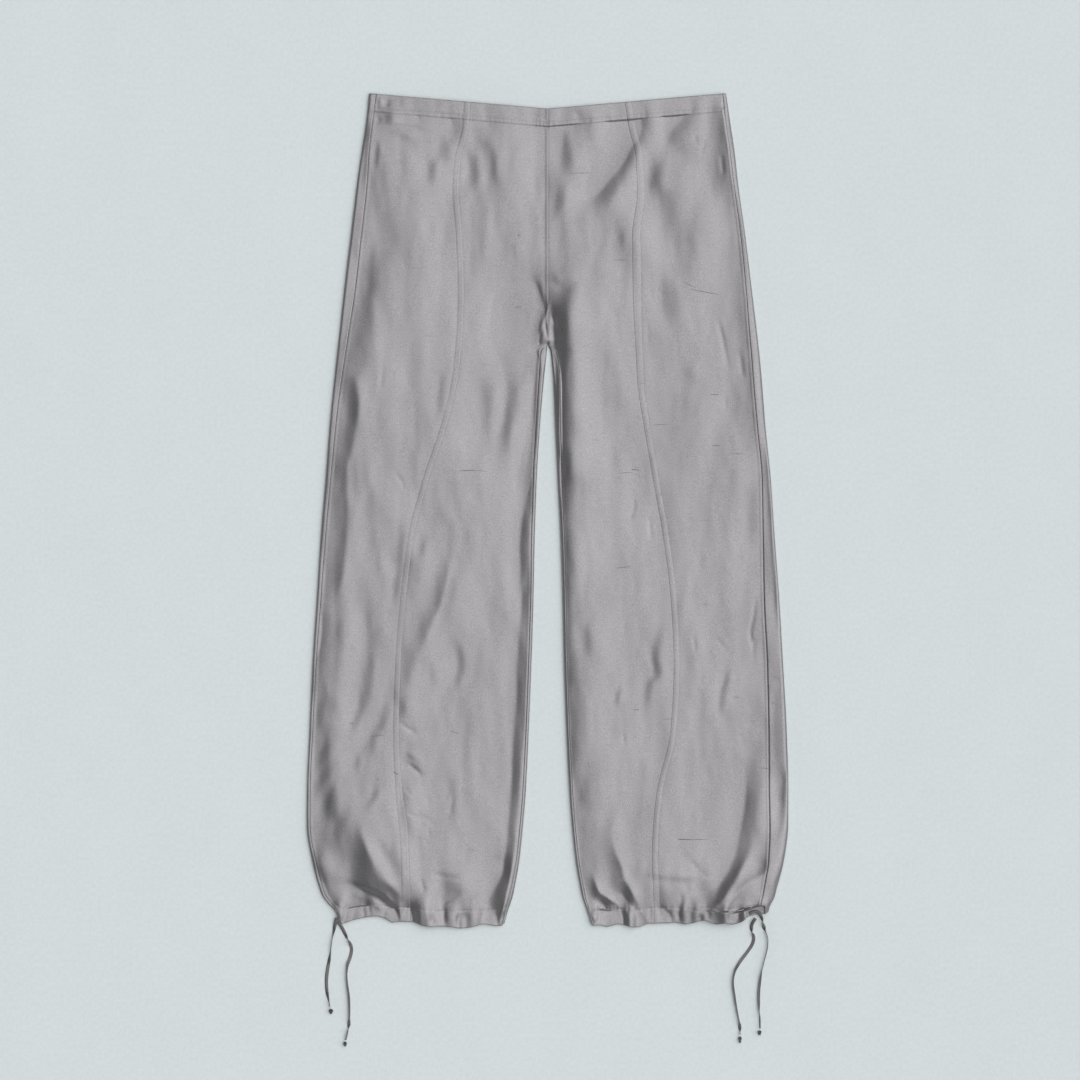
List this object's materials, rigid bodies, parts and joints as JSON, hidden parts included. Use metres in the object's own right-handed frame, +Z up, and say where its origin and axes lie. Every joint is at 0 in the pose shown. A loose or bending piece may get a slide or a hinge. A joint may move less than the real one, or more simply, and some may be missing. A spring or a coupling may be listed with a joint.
{
  "type": "track pants laid flat",
  "caption": "Wide-legged pull-on track pants in slubbed satin, laid flat front up, with shaped front seams, a stitched waist edge and a drawcord in each gathered hem.",
  "frame": {"origin": "on the surface it lies on, under the middle of the laid-out cloth", "axes": "+Z up out of the surface, towards the front of the garment; +Y towards the waist; +X towards the wearer's left leg"},
  "size_m": [0.588, 1.1668, 0.0102],
  "materials": {
    "satin": "slubbed satin, soft sheen",
    "drawcord": "flat satin ribbon"
  },
  "bodies": {
    "root": {"front_center_r": "satin", "front_side_r": "satin", "back_r": "satin", "front_center_l": "satin", "front_side_l": "satin", "back_l": "satin", "drawcord_r_a": "drawcord", "drawcord_r_b": "drawcord", "drawcord_l_a": "drawcord", "drawcord_l_b": "drawcord", "knot_r_a": "drawcord", "knot_r_b": "drawcord", "knot_l_a": "drawcord", "knot_l_b": "drawcord"}
  },
  "joints": []
}
